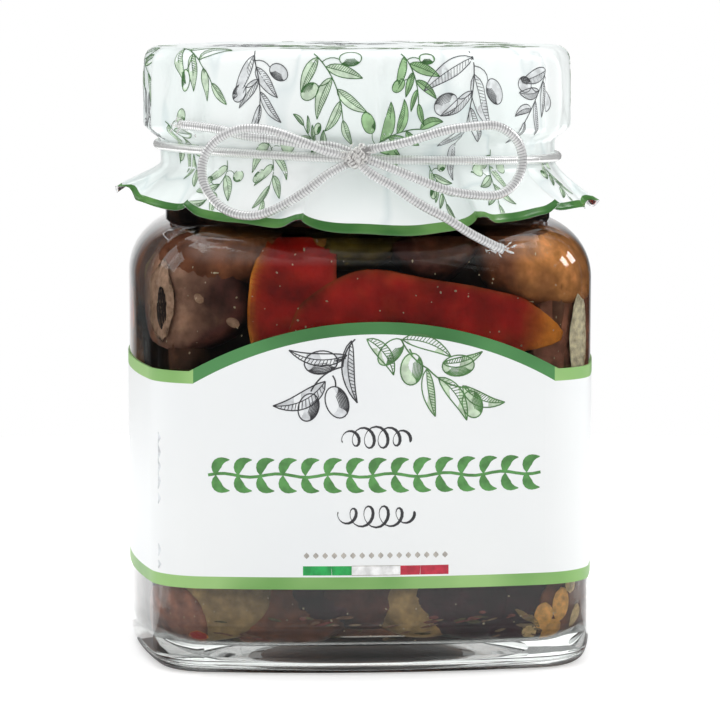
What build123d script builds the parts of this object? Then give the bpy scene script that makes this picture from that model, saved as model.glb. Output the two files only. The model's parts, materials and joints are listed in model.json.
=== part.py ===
# A small square glass jar of olives in oil, shut with a metal twist-off lid. A sheet of foil paper is drawn
# over the lid, gathered under it by a thin elastic cord, and flares below the cord into a pleated skirt.
# The cord's ends are tied in a bow at the front. A paper label with an arched top goes round the glass.
# Millimetres, +Z up. The origin is the centre of the jar's foot, and the label's arch faces -Y.
from build123d import *
import math
import os

os.makedirs("parts", exist_ok=True)

# Glass body
jar_width = 66.2            # across the bowed sides, at the shoulder's top
side_bow_radius = 120.0     # plan radius of each bowed side
plan_corner_radius = 9.0
wall_draft = 0.2            # degrees: the sides lean in towards the foot
shoulder_top = 61.9
shoulder_radius = 8.0
heel_radius = 2.5
wall = 2.3
base_thickness = 3.6
inner_heel_radius = 5.0
push_up = 2.0               # how far the base rises at its middle, outside and inside
push_up_radius = 22.0
neck_radius = 27.8
neck_wall = 2.5
neck_height = 23.2

# Olives in oil
headspace = 8.2             # from the oil's surface to the rim

# Lid
lid_sheet = 0.8
lid_depth = 10.8
lid_edge_radius = 1.6
lid_gap = 1.5               # between the neck and the lid's wall, where the thread is

# Foil paper cover
foil = 0.4
groove_drop = 3.8           # from the lid's lower edge down to the elastic's middle
fold_in_height = 2.5
groove_height = 3.1
skirt_flare = 5.4           # how far the skirt's edge stands out from the groove
skirt_gap = 0.4             # between the skirt's edge and the top of the shoulder
pleats = 14
pleat_depth = 0.8

# Elastic cord
cord_diameter = 1.3
cord_tilt = 1.8             # degrees: the band stands higher at the left
cord_clearance = 0.03
knot_radius = 1.25
knot_squeeze = 0.18         # how far the knot is pressed on the band
knot_right = (-1.1, 1.5)    # the knot's ends: across, and up from the elastic's middle
knot_left = (-3.8, -0.5)

# Label
label_paper = 0.2
label_bottom = 12.1
label_drop = 11.65          # from the start of the shoulder down to the label's straight top
arch_half_width = 25.6
arch_rise = 6.9

# The bow's four stretches of cord, which start and end just inside the knot. Within the knot the left loop
# goes on as the right tail, and the right loop as the left tail, which lies behind the left loop.
left_loop_route = [
    (-4.0, -30.8, 70.7), (-6.4, -31.6, 69.6), (-9.5, -31.8, 67.1), (-13.0, -31.1, 64.8), (-16.7, -30.1, 63.4),
    (-20.5, -28.6, 64.1), (-23.1, -26.9, 66.8), (-23.8, -25.8, 70.2), (-22.3, -26.2, 73.5), (-19.0, -27.8, 75.5),
    (-15.0, -29.9, 75.7), (-10.7, -31.8, 74.2), (-6.8, -32.5, 72.5), (-3.2, -31.4, 71.9),
]
right_loop_route = [
    (-0.9, -31.0, 72.8), (1.3, -32.4, 73.1), (5.3, -32.7, 74.1), (9.7, -32.1, 75.5), (13.8, -31.4, 75.9),
    (17.2, -30.3, 76.1), (20.5, -29.2, 73.5), (20.6, -29.4, 69.1), (17.7, -30.6, 66.2), (13.7, -31.8, 66.4),
    (9.7, -32.7, 67.1), (5.5, -32.9, 68.8), (1.5, -32.4, 70.5), (-1.7, -31.4, 71.6),
]
left_tail_route = [
    (-2.3, -30.2, 72.9), (-5.4, -30.3, 73.3), (-9.4, -29.9, 73.3), (-13.5, -28.5, 74.1), (-17.7, -26.1, 74.4),
    (-21.9, -22.9, 75.5), (-26.3, -18.4, 75.7),
]
right_tail_route = [
    (-3.1, -31.2, 70.8), (-0.8, -32.4, 69.4), (2.4, -33.2, 67.8), (6.0, -33.9, 65.2), (9.6, -34.4, 63.5),
    (13.3, -34.5, 60.9), (17.5, -34.2, 59.0),
]

cord_radius = cord_diameter / 2
rim_height = shoulder_top + neck_height
neck_bore = neck_radius - neck_wall
lid_radius = neck_radius + lid_gap + lid_sheet
lid_top = rim_height + lid_sheet
lid_bottom = lid_top - lid_depth
cover_top = lid_top + foil
cover_radius = lid_radius + foil
groove_radius = neck_radius + foil
groove_top = lid_bottom - fold_in_height
groove_bottom = groove_top - groove_height
cord_height = lid_bottom - groove_drop
band_radius = groove_radius + cord_radius + cord_clearance
knot_depth = band_radius + cord_radius + knot_radius - knot_squeeze
skirt_bottom = shoulder_top + skirt_gap
label_top = shoulder_top - shoulder_radius - label_drop


def bowed_square(half_width, bow_radius, corner_radius):
    """A square whose sides are arcs of bow_radius, with rounded corners."""
    arc_centre = half_width - bow_radius
    corner = (arc_centre + math.sqrt(2 * bow_radius**2 - arc_centre**2)) / 2
    corners = [(corner, corner), (-corner, corner), (-corner, -corner), (corner, -corner)]
    middles = [(0, half_width), (-half_width, 0), (0, -half_width), (half_width, 0)]
    sides = [ThreePointArc(corners[i], middles[i], corners[(i + 1) % 4]) for i in range(4)]
    face = make_face(Curve() + sides)
    return fillet(face.vertices(), corner_radius)


def jar_prism(outset, top, bottom):
    """The jar's straight body, its sides moved out by outset, between two heights."""
    narrowing = (shoulder_top - top) * math.tan(math.radians(wall_draft))
    grow = outset - narrowing
    plan = bowed_square(jar_width / 2 + grow, side_bow_radius + grow, plan_corner_radius + grow)
    prism = extrude(plan, top - bottom, taper=wall_draft)
    return Pos(0, 0, top) * Rot(180, 0, 0) * prism


def dome(height, radius, base):
    """A low spherical dome that stands on the height base."""
    sphere_radius = (radius**2 + height**2) / (2 * height)
    cap = Pos(0, 0, base + height - sphere_radius) * Sphere(sphere_radius)
    return cap & (Pos(0, 0, base + height) * Box(2 * radius, 2 * radius, 2 * height))


def rounded_prism(outset, top, bottom, top_radius, bottom_radius):
    prism = jar_prism(outset, top, bottom)
    prism = fillet(prism.edges().group_by(Axis.Z)[-1], top_radius)
    return fillet(prism.edges().group_by(Axis.Z)[0], bottom_radius)


def upright_cylinder(radius, bottom, top):
    return Pos(0, 0, bottom) * Cylinder(radius, top - bottom, align=(Align.CENTER, Align.CENTER, Align.MIN))


def make_cavity(top):
    body = rounded_prism(-wall, shoulder_top - wall, base_thickness, shoulder_radius - wall, inner_heel_radius)
    body = body - dome(push_up, push_up_radius, base_thickness)
    bore = upright_cylinder(neck_bore, shoulder_top - shoulder_radius, top)
    return body + bore


def make_jar():
    outside = rounded_prism(0, shoulder_top, 0, shoulder_radius, heel_radius)
    outside = outside + upright_cylinder(neck_radius, shoulder_top - shoulder_radius, rim_height)
    outside = outside - dome(push_up, push_up_radius, 0)
    return outside - make_cavity(rim_height + wall)


def make_contents():
    return make_cavity(rim_height - headspace)


def cap_shell(outer_radius, top, bottom, sheet, edge_radius):
    """A round cap of even thickness, open below."""
    outside = upright_cylinder(outer_radius, bottom, top)
    outside = fillet(outside.edges().group_by(Axis.Z)[-1], edge_radius)
    inside = upright_cylinder(outer_radius - sheet, bottom, top - sheet)
    inside = fillet(inside.edges().group_by(Axis.Z)[-1], edge_radius - sheet)
    return outside - inside


def make_lid():
    return cap_shell(lid_radius, lid_top, lid_bottom, lid_sheet, lid_edge_radius)


def skirt_cone(shrink):
    """The skirt as a solid cone, from the round groove down to the wavy edge."""
    points = []
    steps = 4 * pleats
    for i in range(steps):
        angle = 2 * math.pi * i / steps
        radius = groove_radius + skirt_flare - shrink + pleat_depth * math.cos(pleats * angle)
        points.append((radius * math.cos(angle), radius * math.sin(angle), skirt_bottom))
    edge = make_face(Spline(*points, periodic=True))
    return loft([Pos(0, 0, groove_bottom) * Circle(groove_radius - shrink), edge], ruled=True)


def fold_in_cone(shrink):
    """The cover's solid cone from the lid's lower edge in to the groove."""
    return loft([
        Pos(0, 0, lid_bottom) * Circle(cover_radius - shrink),
        Pos(0, 0, groove_top) * Circle(groove_radius - shrink),
    ])


def make_cover():
    crown = cap_shell(cover_radius, cover_top, lid_bottom, foil, lid_edge_radius + foil)
    fold_in = fold_in_cone(0) - fold_in_cone(foil)
    groove = upright_cylinder(groove_radius, groove_bottom, groove_top)
    groove = groove - upright_cylinder(neck_radius, groove_bottom, groove_top)
    skirt = skirt_cone(0) - skirt_cone(foil)
    return crown + fold_in + groove + skirt


def label_outline():
    """The label's front as seen from -Y: a strip with an arch on top."""
    left, right = (-arch_half_width, label_top), (arch_half_width, label_top)
    strip = Polyline(right, (jar_width, label_top), (jar_width, label_bottom),
                     (-jar_width, label_bottom), (-jar_width, label_top), left)
    arch = ThreePointArc(left, (0, label_top + arch_rise), right)
    return make_face(Curve() + [strip, arch])


def make_label():
    sleeve = jar_prism(label_paper, shoulder_top, 0) - jar_prism(0, shoulder_top, 0)
    front = extrude(Plane.XZ * label_outline(), jar_width)
    strip_height = label_top - label_bottom
    back = Pos(0, jar_width / 2, label_bottom + strip_height / 2) * Box(2 * jar_width, jar_width, strip_height)
    return sleeve & (front + back)


def make_band():
    return Pos(0, 0, cord_height) * Rot(0, cord_tilt, 0) * Torus(band_radius, cord_radius)


def make_knot(band, cover):
    """A short slanted roll of cord that sits on the band."""
    ends = [Vector(x, -knot_depth, cord_height + rise) for x, rise in (knot_right, knot_left)]
    line = Line(*ends)
    roll = sweep(Plane(origin=ends[0], z_dir=line % 0) * Circle(knot_radius), path=line)
    for end in ends:
        roll = roll + Pos(*end) * Sphere(knot_radius)
    return roll - band - cover


def cord_radii(points):
    """As large an arc at each corner as its two runs allow."""
    corners = [Vector(*p) for p in points]
    radii = []
    for before, here, after in zip(corners, corners[1:], corners[2:]):
        turn = (here - before).get_angle(after - here)
        shorter = min((here - before).length, (after - here).length)
        radii.append(0.45 * shorter / math.tan(math.radians(turn / 2)))
    return radii


def cord_tube(name, points):
    radii = cord_radii(points)
    path = FilletPolyline(*points, radius=radii)
    tube = sweep(Plane(origin=path @ 0, z_dir=path % 0) * Circle(cord_radius), path=path)
    share = tube.volume / (math.pi * cord_radius**2 * path.length)
    print(name, "length", round(path.length, 1), "volume share", round(share, 4),
          "radii", [round(r, 1) for r in radii])
    return tube


jar = make_jar()
export_step(jar, "parts/glass_jar.step")
export_step(make_contents(), "parts/contents.step")
export_step(make_lid(), "parts/lid.step")
cover = make_cover()
export_step(cover, "parts/lid_cover.step")
export_step(make_label(), "parts/label.step")
band = make_band()
export_step(band, "parts/cord_band.step")
knot = make_knot(band, cover)
export_step(knot, "parts/bow_knot.step")
routes = {
    "bow_loop_left": left_loop_route,
    "bow_loop_right": right_loop_route,
    "bow_tail_left": left_tail_route,
    "bow_tail_right": right_tail_route,
}
for name, route in routes.items():
    export_step(cord_tube(name, route) - knot, f"parts/{name}.step")
print("jar", round(jar.volume / 1000, 1), "cm3; height", cover_top)
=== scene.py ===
# %% [markdown]
# A small square glass jar of olives in oil, about 86 mm tall. Its lid is wrapped in printed foil paper that a
# silver elastic cord gathers under the rim, and the cord is tied in a bow at the front.
# The jar, lid and label come from the CAD frame. Everything soft, wet or printed is made here around it.

# %% Load the frame
import json
import math
import random

import bmesh
import bpy
from mathutils import Matrix, Vector, noise

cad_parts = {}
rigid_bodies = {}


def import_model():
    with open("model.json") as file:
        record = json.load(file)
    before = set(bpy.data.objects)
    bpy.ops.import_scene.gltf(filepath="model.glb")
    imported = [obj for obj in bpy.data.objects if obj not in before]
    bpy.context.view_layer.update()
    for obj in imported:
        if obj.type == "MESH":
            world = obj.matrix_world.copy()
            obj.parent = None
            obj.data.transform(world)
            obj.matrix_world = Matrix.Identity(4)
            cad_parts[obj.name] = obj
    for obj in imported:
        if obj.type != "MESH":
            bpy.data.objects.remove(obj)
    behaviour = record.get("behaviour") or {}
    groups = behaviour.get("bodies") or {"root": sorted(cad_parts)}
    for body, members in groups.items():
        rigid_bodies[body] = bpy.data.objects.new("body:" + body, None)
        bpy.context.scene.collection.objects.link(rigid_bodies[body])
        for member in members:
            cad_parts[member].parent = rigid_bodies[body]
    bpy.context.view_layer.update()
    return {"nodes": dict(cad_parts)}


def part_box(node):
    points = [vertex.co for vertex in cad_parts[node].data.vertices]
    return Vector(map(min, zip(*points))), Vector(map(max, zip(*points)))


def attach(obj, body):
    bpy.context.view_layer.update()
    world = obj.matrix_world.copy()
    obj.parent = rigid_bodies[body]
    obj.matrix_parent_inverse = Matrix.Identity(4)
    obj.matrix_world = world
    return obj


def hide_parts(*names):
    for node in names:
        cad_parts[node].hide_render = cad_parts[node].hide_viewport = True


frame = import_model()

print("nodes:", sorted(frame["nodes"]))

# %% [markdown]
# The shapes below are built in millimetres, as a maker would measure them, and shrunk to metres once, when a
# bmesh becomes an object. Sizes that the frame knows are read from it.

# %% Sizes
MM = 0.001
jar_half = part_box("glass_jar")[1][0] / MM           # half the jar's width, across the bowed sides
shoulder_top = 61.9
shoulder_radius = 8.0
side_bow = 120.0                                    # plan radius of each bowed side
plan_corner = 9.0
wall_draft = math.tan(math.radians(0.2))
wall = 2.3
floor_inside, oil_top = (corner[2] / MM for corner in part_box("contents"))
inner_heel = 5.0
label_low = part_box("label")[0][2] / MM
label_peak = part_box("label")[1][2] / MM
label_rise = 6.9
label_top = label_peak - label_rise
arch_half = 25.6
paper_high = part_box("lid_cover")[1][2] / MM
print(f"jar half width {jar_half:.1f}, oil from {floor_inside:.1f} to {oil_top:.1f} mm")

# %% Turn a bmesh into a piece
def new_piece(name, bm, materials):
    """An object at the origin, in metres, that rides on the jar."""
    bmesh.ops.scale(bm, vec=(MM, MM, MM), verts=bm.verts)
    mesh = bpy.data.meshes.new(name)
    bm.to_mesh(mesh)
    bm.free()
    mesh.shade_smooth()
    for material in materials:
        mesh.materials.append(material)
    piece = bpy.data.objects.new(name, mesh)
    bpy.context.collection.objects.link(piece)
    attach(piece, "root")
    print(name, "faces", len(mesh.polygons))
    return piece


# %% [markdown]
# Many pieces here are a flat grid that is bent into place: a pepper strip, the foil paper, a printed leaf,
# and a cord, whose grid is rolled into a tube. So one helper makes a grid and asks a function where each
# corner goes.

# %% Bend a grid
def bent_grid(bm, across, along, place, material=0, rolled=False, inside=None):
    """A grid whose corners go where place(u, v) says. Its faces look away from the point inside."""
    verts = bmesh.ops.create_grid(bm, x_segments=across, y_segments=along, size=0.5)["verts"]
    faces = {face for vert in verts for face in vert.link_faces}
    uv = bm.loops.layers.uv.verify()
    for face in faces:
        face.material_index = material
        for loop in face.loops:
            loop[uv].uv = (loop.vert.co.x + 0.5, loop.vert.co.y + 0.5)
    for vert in verts:
        vert.co = place(vert.co.x + 0.5, vert.co.y + 0.5)
    if rolled:
        bmesh.ops.remove_doubles(bm, verts=verts, dist=1e-4)
    faces = [face for face in faces if face.is_valid]
    if inside is not None:
        for face in faces:
            face.normal_update()
        out = sum((face.calc_center_median() - inside).dot(face.normal) for face in faces)
        if out < 0:
            bmesh.ops.reverse_faces(bm, faces=faces)
    return faces


# %% [markdown]
# The camera stands about 60 cm away and a little above the jar, with a long lens, so that the sides of the
# jar stay almost upright. It looks at the front a few degrees from the left.

# %% Camera
camera_place = Vector((-46.7, -598.2, 99.4)) * MM
camera_dip = math.radians(5.59)
camera_turn = math.radians(-4.5)
camera_data = bpy.data.cameras.new("camera")
camera_data.sensor_width = 36
camera_data.lens = 207.35
camera_data.clip_start = 0.01
camera = bpy.data.objects.new("camera", camera_data)
camera.location = camera_place
camera.rotation_euler = (math.pi / 2 - camera_dip, 0, camera_turn)
bpy.context.collection.objects.link(camera)
bpy.context.scene.camera = camera
bpy.context.scene.view_settings.view_transform = "Standard"
print("camera at", [round(x, 3) for x in camera.location])

# %% [markdown]
# The bow is one limp metallic cord. Inside the knot the left loop runs on as the right tail, and the right
# loop as the left tail, so there are two free cords, each a smooth spline through the same points as the
# CAD tubes.

# %% The cord's routes
left_loop_route = [
    (-4.0, -30.8, 70.7), (-6.4, -31.6, 69.6), (-9.5, -31.8, 67.1), (-13.0, -31.1, 64.8),
    (-16.7, -30.1, 63.4), (-20.5, -28.6, 64.1), (-23.1, -26.9, 66.8), (-23.8, -25.8, 70.2),
    (-22.3, -26.2, 73.5), (-19.0, -27.8, 75.5), (-15.0, -29.9, 75.7), (-10.7, -31.8, 74.2),
    (-6.8, -32.5, 72.5), (-3.2, -31.4, 71.9),
]
right_loop_route = [
    (-0.9, -31.0, 72.8), (1.3, -32.4, 73.1), (5.3, -32.7, 74.1), (9.7, -32.1, 75.5), (13.8, -31.4, 75.9),
    (17.2, -30.3, 76.1), (20.5, -29.2, 73.5), (20.6, -29.4, 69.1), (17.7, -30.6, 66.2),
    (13.7, -31.8, 66.4), (9.7, -32.7, 67.1), (5.5, -32.9, 68.8), (1.5, -32.4, 70.5), (-1.7, -31.4, 71.6),
]
left_tail_route = [
    (-2.3, -30.2, 72.9), (-5.4, -30.3, 73.3), (-9.4, -29.9, 73.3), (-13.5, -28.5, 74.1),
    (-17.7, -26.1, 74.4), (-21.9, -22.9, 75.5), (-26.3, -18.4, 75.7),
]
right_tail_route = [
    (-3.1, -31.2, 70.8), (-0.8, -32.4, 69.4), (2.4, -33.2, 67.8), (6.0, -33.9, 65.2), (9.6, -34.4, 63.5),
    (13.3, -34.5, 60.9), (17.5, -34.2, 59.0),
]
cord_diameter = 1.3
cord_routes = {
    "bow_cord_left": left_loop_route + right_tail_route[1:],
    "bow_cord_right": right_loop_route + left_tail_route[1:],
}

# %% Read a smooth line from a spline
def smooth_line(route, step):
    """Evenly spaced points along the NURBS spline whose control points are the route's."""
    curve = bpy.data.curves.new("line", "CURVE")
    curve.dimensions = "3D"
    curve.resolution_u = 24
    spline = curve.splines.new("NURBS")
    spline.points.add(len(route) - 1)
    for point, place in zip(spline.points, route):
        point.co = (*place, 1)
    spline.order_u = 3
    spline.use_endpoint_u = True
    carrier = bpy.data.objects.new("line", curve)
    mesh = bpy.data.meshes.new_from_object(carrier)
    raw = [vert.co.copy() for vert in mesh.vertices]
    bpy.data.objects.remove(carrier)
    bpy.data.curves.remove(curve)
    bpy.data.meshes.remove(mesh)
    line, spare = [raw[0]], 0.0
    for start, end in zip(raw, raw[1:]):
        length = (end - start).length
        while length > 0 and spare + length >= step:
            start = start.lerp(end, (step - spare) / length)
            length = (end - start).length
            line.append(start)
            spare = 0.0
        spare += length
    return line


def line_length(line):
    return sum((b - a).length for a, b in zip(line, line[1:]))


# %% [markdown]
# Elastic cord of this kind is wound with flat metallic thread: fine ridges go across it, and slant a little
# back on the upper side and below, like a row of flat V shapes. The ridges are in the mesh, a few
# hundredths of a millimetre deep, so that they glitter when the light moves.

# %% Roll a grid into a cord
def close_ends(bm, faces):
    """Fill the two open ends of a rolled grid."""
    ends = [edge for edge in {e for f in faces for e in f.edges} if edge.is_boundary]
    bmesh.ops.holes_fill(bm, edges=ends, sides=0)
    bmesh.ops.recalc_face_normals(bm, faces=bm.faces)


def cord_sides(line):
    """Two directions across the line at each of its points, without twist."""
    tangents = [(b - a).normalized() for a, b in zip(line, line[1:])]
    tangents.append(tangents[-1])
    side = tangents[0].cross(Vector((0, 0.3, 1))).normalized()
    frames = []
    for tangent in tangents:
        side = (side - tangent * side.dot(tangent)).normalized()
        frames.append((side, tangent.cross(side)))
    return frames


thread_slant = 1.4


def hollow_at(angle, turns):
    """0 on a ridge of the thread and 1 between two ridges, turns being counted along the cord."""
    wave = 0.5 + 0.5 * math.cos(2 * math.pi * turns + abs(angle - math.pi) * thread_slant)
    return 1 - wave ** 0.6


def add_cord(bm, line, radius, ridge, pitch, sides=14, taper=0):
    """A round cord along the line, with ridges pitch mm apart and ends that may taper."""
    frames = cord_sides(line)
    last = len(line) - 1
    step = line_length(line) / last

    def place(u, v):
        i = round(v * last)
        angle = 2 * math.pi * u
        from_end = min(i, last - i) * step
        thin = min(1, 0.25 + from_end / taper) if taper else 1
        reach = (radius - ridge * hollow_at(angle, i * step / pitch)) * thin
        side, up = frames[i]
        return line[i] + (side * math.cos(angle) + up * math.sin(angle)) * reach

    close_ends(bm, bent_grid(bm, sides, last, place, rolled=True))


# %% [markdown]
# A material is a small set of nodes. These helpers add a node, set its sockets and join it, so that each
# finish below reads as a recipe. Patterns read Object coordinates in metres, the piece's own UV map, or an
# attribute that is painted on its corners.

# %% Helpers for materials
class Nodes:
    """A node tree that is built up node by node."""

    def __init__(self, tree):
        self.tree = tree

    def node(self, kind, settings=None, **sockets):
        made = self.tree.nodes.new("ShaderNode" + kind)
        for key, value in (settings or {}).items():
            setattr(made, key, value)
        for key, value in sockets.items():
            self.join(value, made.inputs[key.replace("_", " ")])
        return made

    def join(self, value, socket):
        if isinstance(value, bpy.types.NodeSocket):
            self.tree.links.new(value, socket)
        else:
            socket.default_value = value

    def math(self, operation, *values, clamp=False):
        made = self.node("Math", {"operation": operation, "use_clamp": clamp})
        for value, socket in zip(values, made.inputs):
            self.join(value, socket)
        return made.outputs[0]

    def objects(self):
        return self.node("TexCoord").outputs["Object"]

    def noise(self, scale, detail=3.0, rough=0.5, vector=None):
        made = self.node("TexNoise", Scale=scale, Detail=detail, Roughness=rough)
        self.join(self.objects() if vector is None else vector, made.inputs["Vector"])
        return made.outputs["Fac"]

    def ramp(self, value, stops):
        made = self.node("ValToRGB", Fac=value)
        elements = made.color_ramp.elements
        while len(elements) < len(stops):
            elements.new(0.5)
        for element, (place, colour) in zip(elements, stops):
            element.position = place
            element.color = (*colour, 1)
        return made.outputs["Color"]

    def mix(self, share, a, b, blend="MIX"):
        made = self.node("Mix", {"data_type": "RGBA", "blend_type": blend})
        self.join(share, made.inputs[0])
        for value, socket in ((a, made.inputs[6]), (b, made.inputs[7])):
            self.join((*value, 1) if isinstance(value, tuple) and len(value) == 3 else value, socket)
        return made.outputs[2]

    def grey_ramp(self, value, *stops):
        return self.ramp(value, [(place, (tone, tone, tone)) for place, tone in stops])


class Recipe(Nodes):
    """A material and its node tree."""

    def __init__(self, name):
        self.material = bpy.data.materials.new(name)
        self.material.use_nodes = True
        super().__init__(self.material.node_tree)
        self.shader = self.tree.nodes["Principled BSDF"]

    def set(self, **sockets):
        for key, value in sockets.items():
            self.join(value, self.shader.inputs[key.replace("_", " ")])

    def painted_tone(self):
        return self.node("Attribute", {"attribute_name": "tone"}).outputs["Color"]

    def bump(self, height, strength, distance):
        made = self.node("Bump", Height=height, Strength=strength, Distance=distance)
        self.set(Normal=made.outputs["Normal"])


# %% Metallic thread
def metal_thread(name, light, dark, ridges):
    """Silver with dark lines between the ridges. ridges is their number along the cord."""
    recipe = Recipe(name)
    uv = recipe.node("UVMap").outputs["UV"]
    parts = recipe.node("SeparateXYZ", Vector=uv)
    around, along = parts.outputs["X"], parts.outputs["Y"]
    slant = recipe.math("ABSOLUTE", recipe.math("SUBTRACT", around, 0.5))
    phase = recipe.math("MULTIPLY_ADD", along, ridges, recipe.math("MULTIPLY", slant, thread_slant))
    wave = recipe.math("SINE", recipe.math("MULTIPLY", phase, 2 * math.pi))
    lines = recipe.math("MULTIPLY_ADD", wave, 0.5, 0.8, clamp=True)
    worn = recipe.noise(900.0)
    bright = recipe.math("MULTIPLY", lines, recipe.math("MULTIPLY_ADD", worn, 1.6, 0.5), clamp=True)
    tone = recipe.mix(bright, dark, light)
    recipe.set(Base_Color=tone, Metallic=0.45, Roughness=recipe.math("MULTIPLY_ADD", worn, 0.25, 0.1))
    return recipe.material


thread_pitch = 0.42
ridge_depth = 0.035
line_step = 0.085
cords = {}
for name, route in cord_routes.items():
    line = smooth_line(route, line_step)
    length = line_length(line)
    silver = metal_thread(name + "_silver", (1.0, 1.0, 1.0), (0.22, 0.22, 0.23), length / thread_pitch)
    bm = bmesh.new()
    add_cord(bm, line, cord_diameter / 2, ridge_depth, thread_pitch)
    cords[name] = (new_piece(name, bm, [silver]), line)
    print(name, "length", round(length, 1), "mm")

# %% The band behind the bow
band_low, band_high = (Vector(corner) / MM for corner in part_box("cord_band"))
band_middle = (band_low + band_high) / 2
band_radius = (band_high.x - band_low.x) / 2 - cord_diameter / 2
band_rise = (band_high.z - band_low.z - cord_diameter) / 2
band_length = 2 * math.pi * band_radius
band_ridges = round(band_length / thread_pitch)


def band_point(turn):
    """The band is level from front to back, and higher at the left."""
    x, y = band_radius * math.sin(turn), -band_radius * math.cos(turn)
    return Vector((x, y, band_middle.z - band_rise * math.sin(turn)))


band_steps = round(band_length / line_step / 1.2)


def band_place(u, v):
    middle = band_point(2 * math.pi * (round(v * band_steps) % band_steps) / band_steps)
    out = Vector((middle.x, middle.y, 0)).normalized()
    angle = 2 * math.pi * u
    reach = cord_diameter / 2 - ridge_depth * hollow_at(angle, band_ridges * v)
    return middle + (out * math.cos(angle) + Vector((0, 0, 1)) * math.sin(angle)) * reach


bm = bmesh.new()
bent_grid(bm, 14, band_steps, band_place, rolled=True)
bmesh.ops.recalc_face_normals(bm, faces=bm.faces)
band_silver = metal_thread("band_silver", (0.97, 0.97, 0.96), (0.5, 0.5, 0.5), band_length / thread_pitch)
cord_band = new_piece("elastic_band", bm, [band_silver])
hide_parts("cord_band")

# %% [markdown]
# The knot is a short slanted roll: the cord goes round itself about three times, and the crushed metallic
# thread stands up in bright crumbs. The cut ends of the tails are frayed in the same way.

# %% Knot
knot_low, knot_high = (Vector(corner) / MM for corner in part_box("bow_knot"))
knot_middle = (knot_low + knot_high) / 2 - Vector((0, 1.35, 0))
knot_axis = Vector((2.7, 0, 2.0)).normalized()
knot_front = Vector((0, -1, 0))
knot_across = knot_front.cross(knot_axis).normalized()
knot_silver = metal_thread("knot_silver", (0.98, 0.97, 0.95), (0.12, 0.11, 0.11), 40)
dice = random.Random(11)


def knot_turn(t):
    """A point on the cord that is wound round the knot, for t from 0 to 1."""
    angle = 2 * math.pi * 3.2 * t
    reach = 0.78 + 0.12 * math.sin(3 * angle)
    along = (t - 0.5) * 2.9
    round_it = knot_across * math.cos(angle) * 1.15 + knot_front * math.sin(angle)
    return knot_middle + knot_axis * along + round_it * reach


bm = bmesh.new()
winding = smooth_line([knot_turn(i / 26) for i in range(27)], 0.09)
add_cord(bm, winding, 0.52, 0.12, 0.4, sides=12, taper=0.8)
core = bmesh.ops.create_icosphere(bm, subdivisions=4, radius=1.0)["verts"]
for vert in core:
    lumps = 1 + 0.22 * noise.noise(vert.co * 3.0)
    p = vert.co * lumps
    vert.co = knot_middle + knot_axis * p.x * 1.95 + knot_across * p.z * 1.1 - knot_front * p.y
bow_knot = new_piece("knot", bm, [knot_silver])
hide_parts("bow_knot")

# %% Frayed thread
def add_crumbs(bm, middle, spread, count, size, length, drift):
    """Short bright bits of torn thread."""
    for _ in range(count):
        start = middle + Vector([dice.gauss(0, s) for s in spread])
        way = (Vector([dice.gauss(0, 1) for _ in range(3)]) + drift).normalized()
        bend = Vector([dice.gauss(0, 0.3) for _ in range(3)])
        reach = length * dice.uniform(0.4, 1.3)
        route = [start, start + way * reach * 0.5 + bend * reach * 0.4, start + (way + bend) * reach]
        thread = smooth_line(route, reach / 5)
        add_cord(bm, thread, size * dice.uniform(0.6, 1.3), 0.0, 1.0, sides=5, taper=0.4)


left_end = cords["bow_cord_left"][1][-1] - Vector((0.9, 0, -0.2))
right_end = cords["bow_cord_right"][1][-1] + Vector((1.3, -0.3, -0.2))
fray_silver = metal_thread("fray_silver", (1.0, 0.99, 0.97), (0.6, 0.58, 0.56), 3)
bm = bmesh.new()
add_crumbs(bm, knot_middle + Vector((0, -0.7, 0)), (1.0, 0.35, 0.8), 70, 0.13, 0.9, Vector((0, -0.6, 0)))
add_crumbs(bm, left_end, (0.8, 0.3, 0.35), 60, 0.13, 0.7, Vector((0.8, -0.3, -0.4)))
add_crumbs(bm, right_end, (1.5, 0.4, 0.35), 70, 0.11, 0.8, Vector((-0.5, -0.6, 0.2)))
new_piece("frayed_thread", bm, [fray_silver])

for name, length, loop, tail in [("bow_cord_left", 0.077, "bow_loop_left", "bow_tail_right"),
                                 ("bow_cord_right", 0.081, "bow_loop_right", "bow_tail_left")]:
    piece, line = cords[name]
    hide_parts(loop, tail)

# %% [markdown]
# Plain studio light: a soft lamp above, one at each side and a weak one behind. The camera sees a white
# surround. What glass and metal mirror is white behind the jar and overhead, and dark in front, as an unlit
# room would be, so that the glass stays clear over the olives and the silver thread has its dark side. Light
# that comes in through the glass is a little stronger, since the glass and oil take some of it away.

# %% World
ambient_light = 1.03
light_in_glass = 1.35
world = bpy.data.worlds.new("studio")
bpy.context.scene.world = world
world.use_nodes = True
studio = Nodes(world.node_tree)
ways = studio.node("SeparateXYZ", Vector=studio.node("TexCoord").outputs["Generated"])
ray = studio.node("LightPath").outputs
through = ray["Is Transmission Ray"]
behind = studio.mix(through, studio.grey_ramp(ways.outputs["Y"], (0.965, 0.0), (0.999, 1.0)),
                    studio.grey_ramp(ways.outputs["Y"], (0.82, 0.0), (0.97, 1.0)))
overhead = studio.grey_ramp(ways.outputs["Z"], (0.72, 0.02), (1.0, 0.65))
room_tone = studio.mix(1.0, behind, overhead, "LIGHTEN")
unlit = studio.math("SUBTRACT", 1.0, studio.math("MINIMUM", ray["Diffuse Depth"], 1.0))
mirrored = studio.math("MULTIPLY", studio.math("MAXIMUM", ray["Is Glossy Ray"], through), unlit)


def surround(colour, strength):
    return studio.node("Background", Color=colour, Strength=strength).outputs[0]


def choose(share, first, second):
    blend = studio.node("MixShader")
    for value, socket in zip((share, first, second), blend.inputs):
        studio.join(value, socket)
    return blend.outputs[0]


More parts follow.
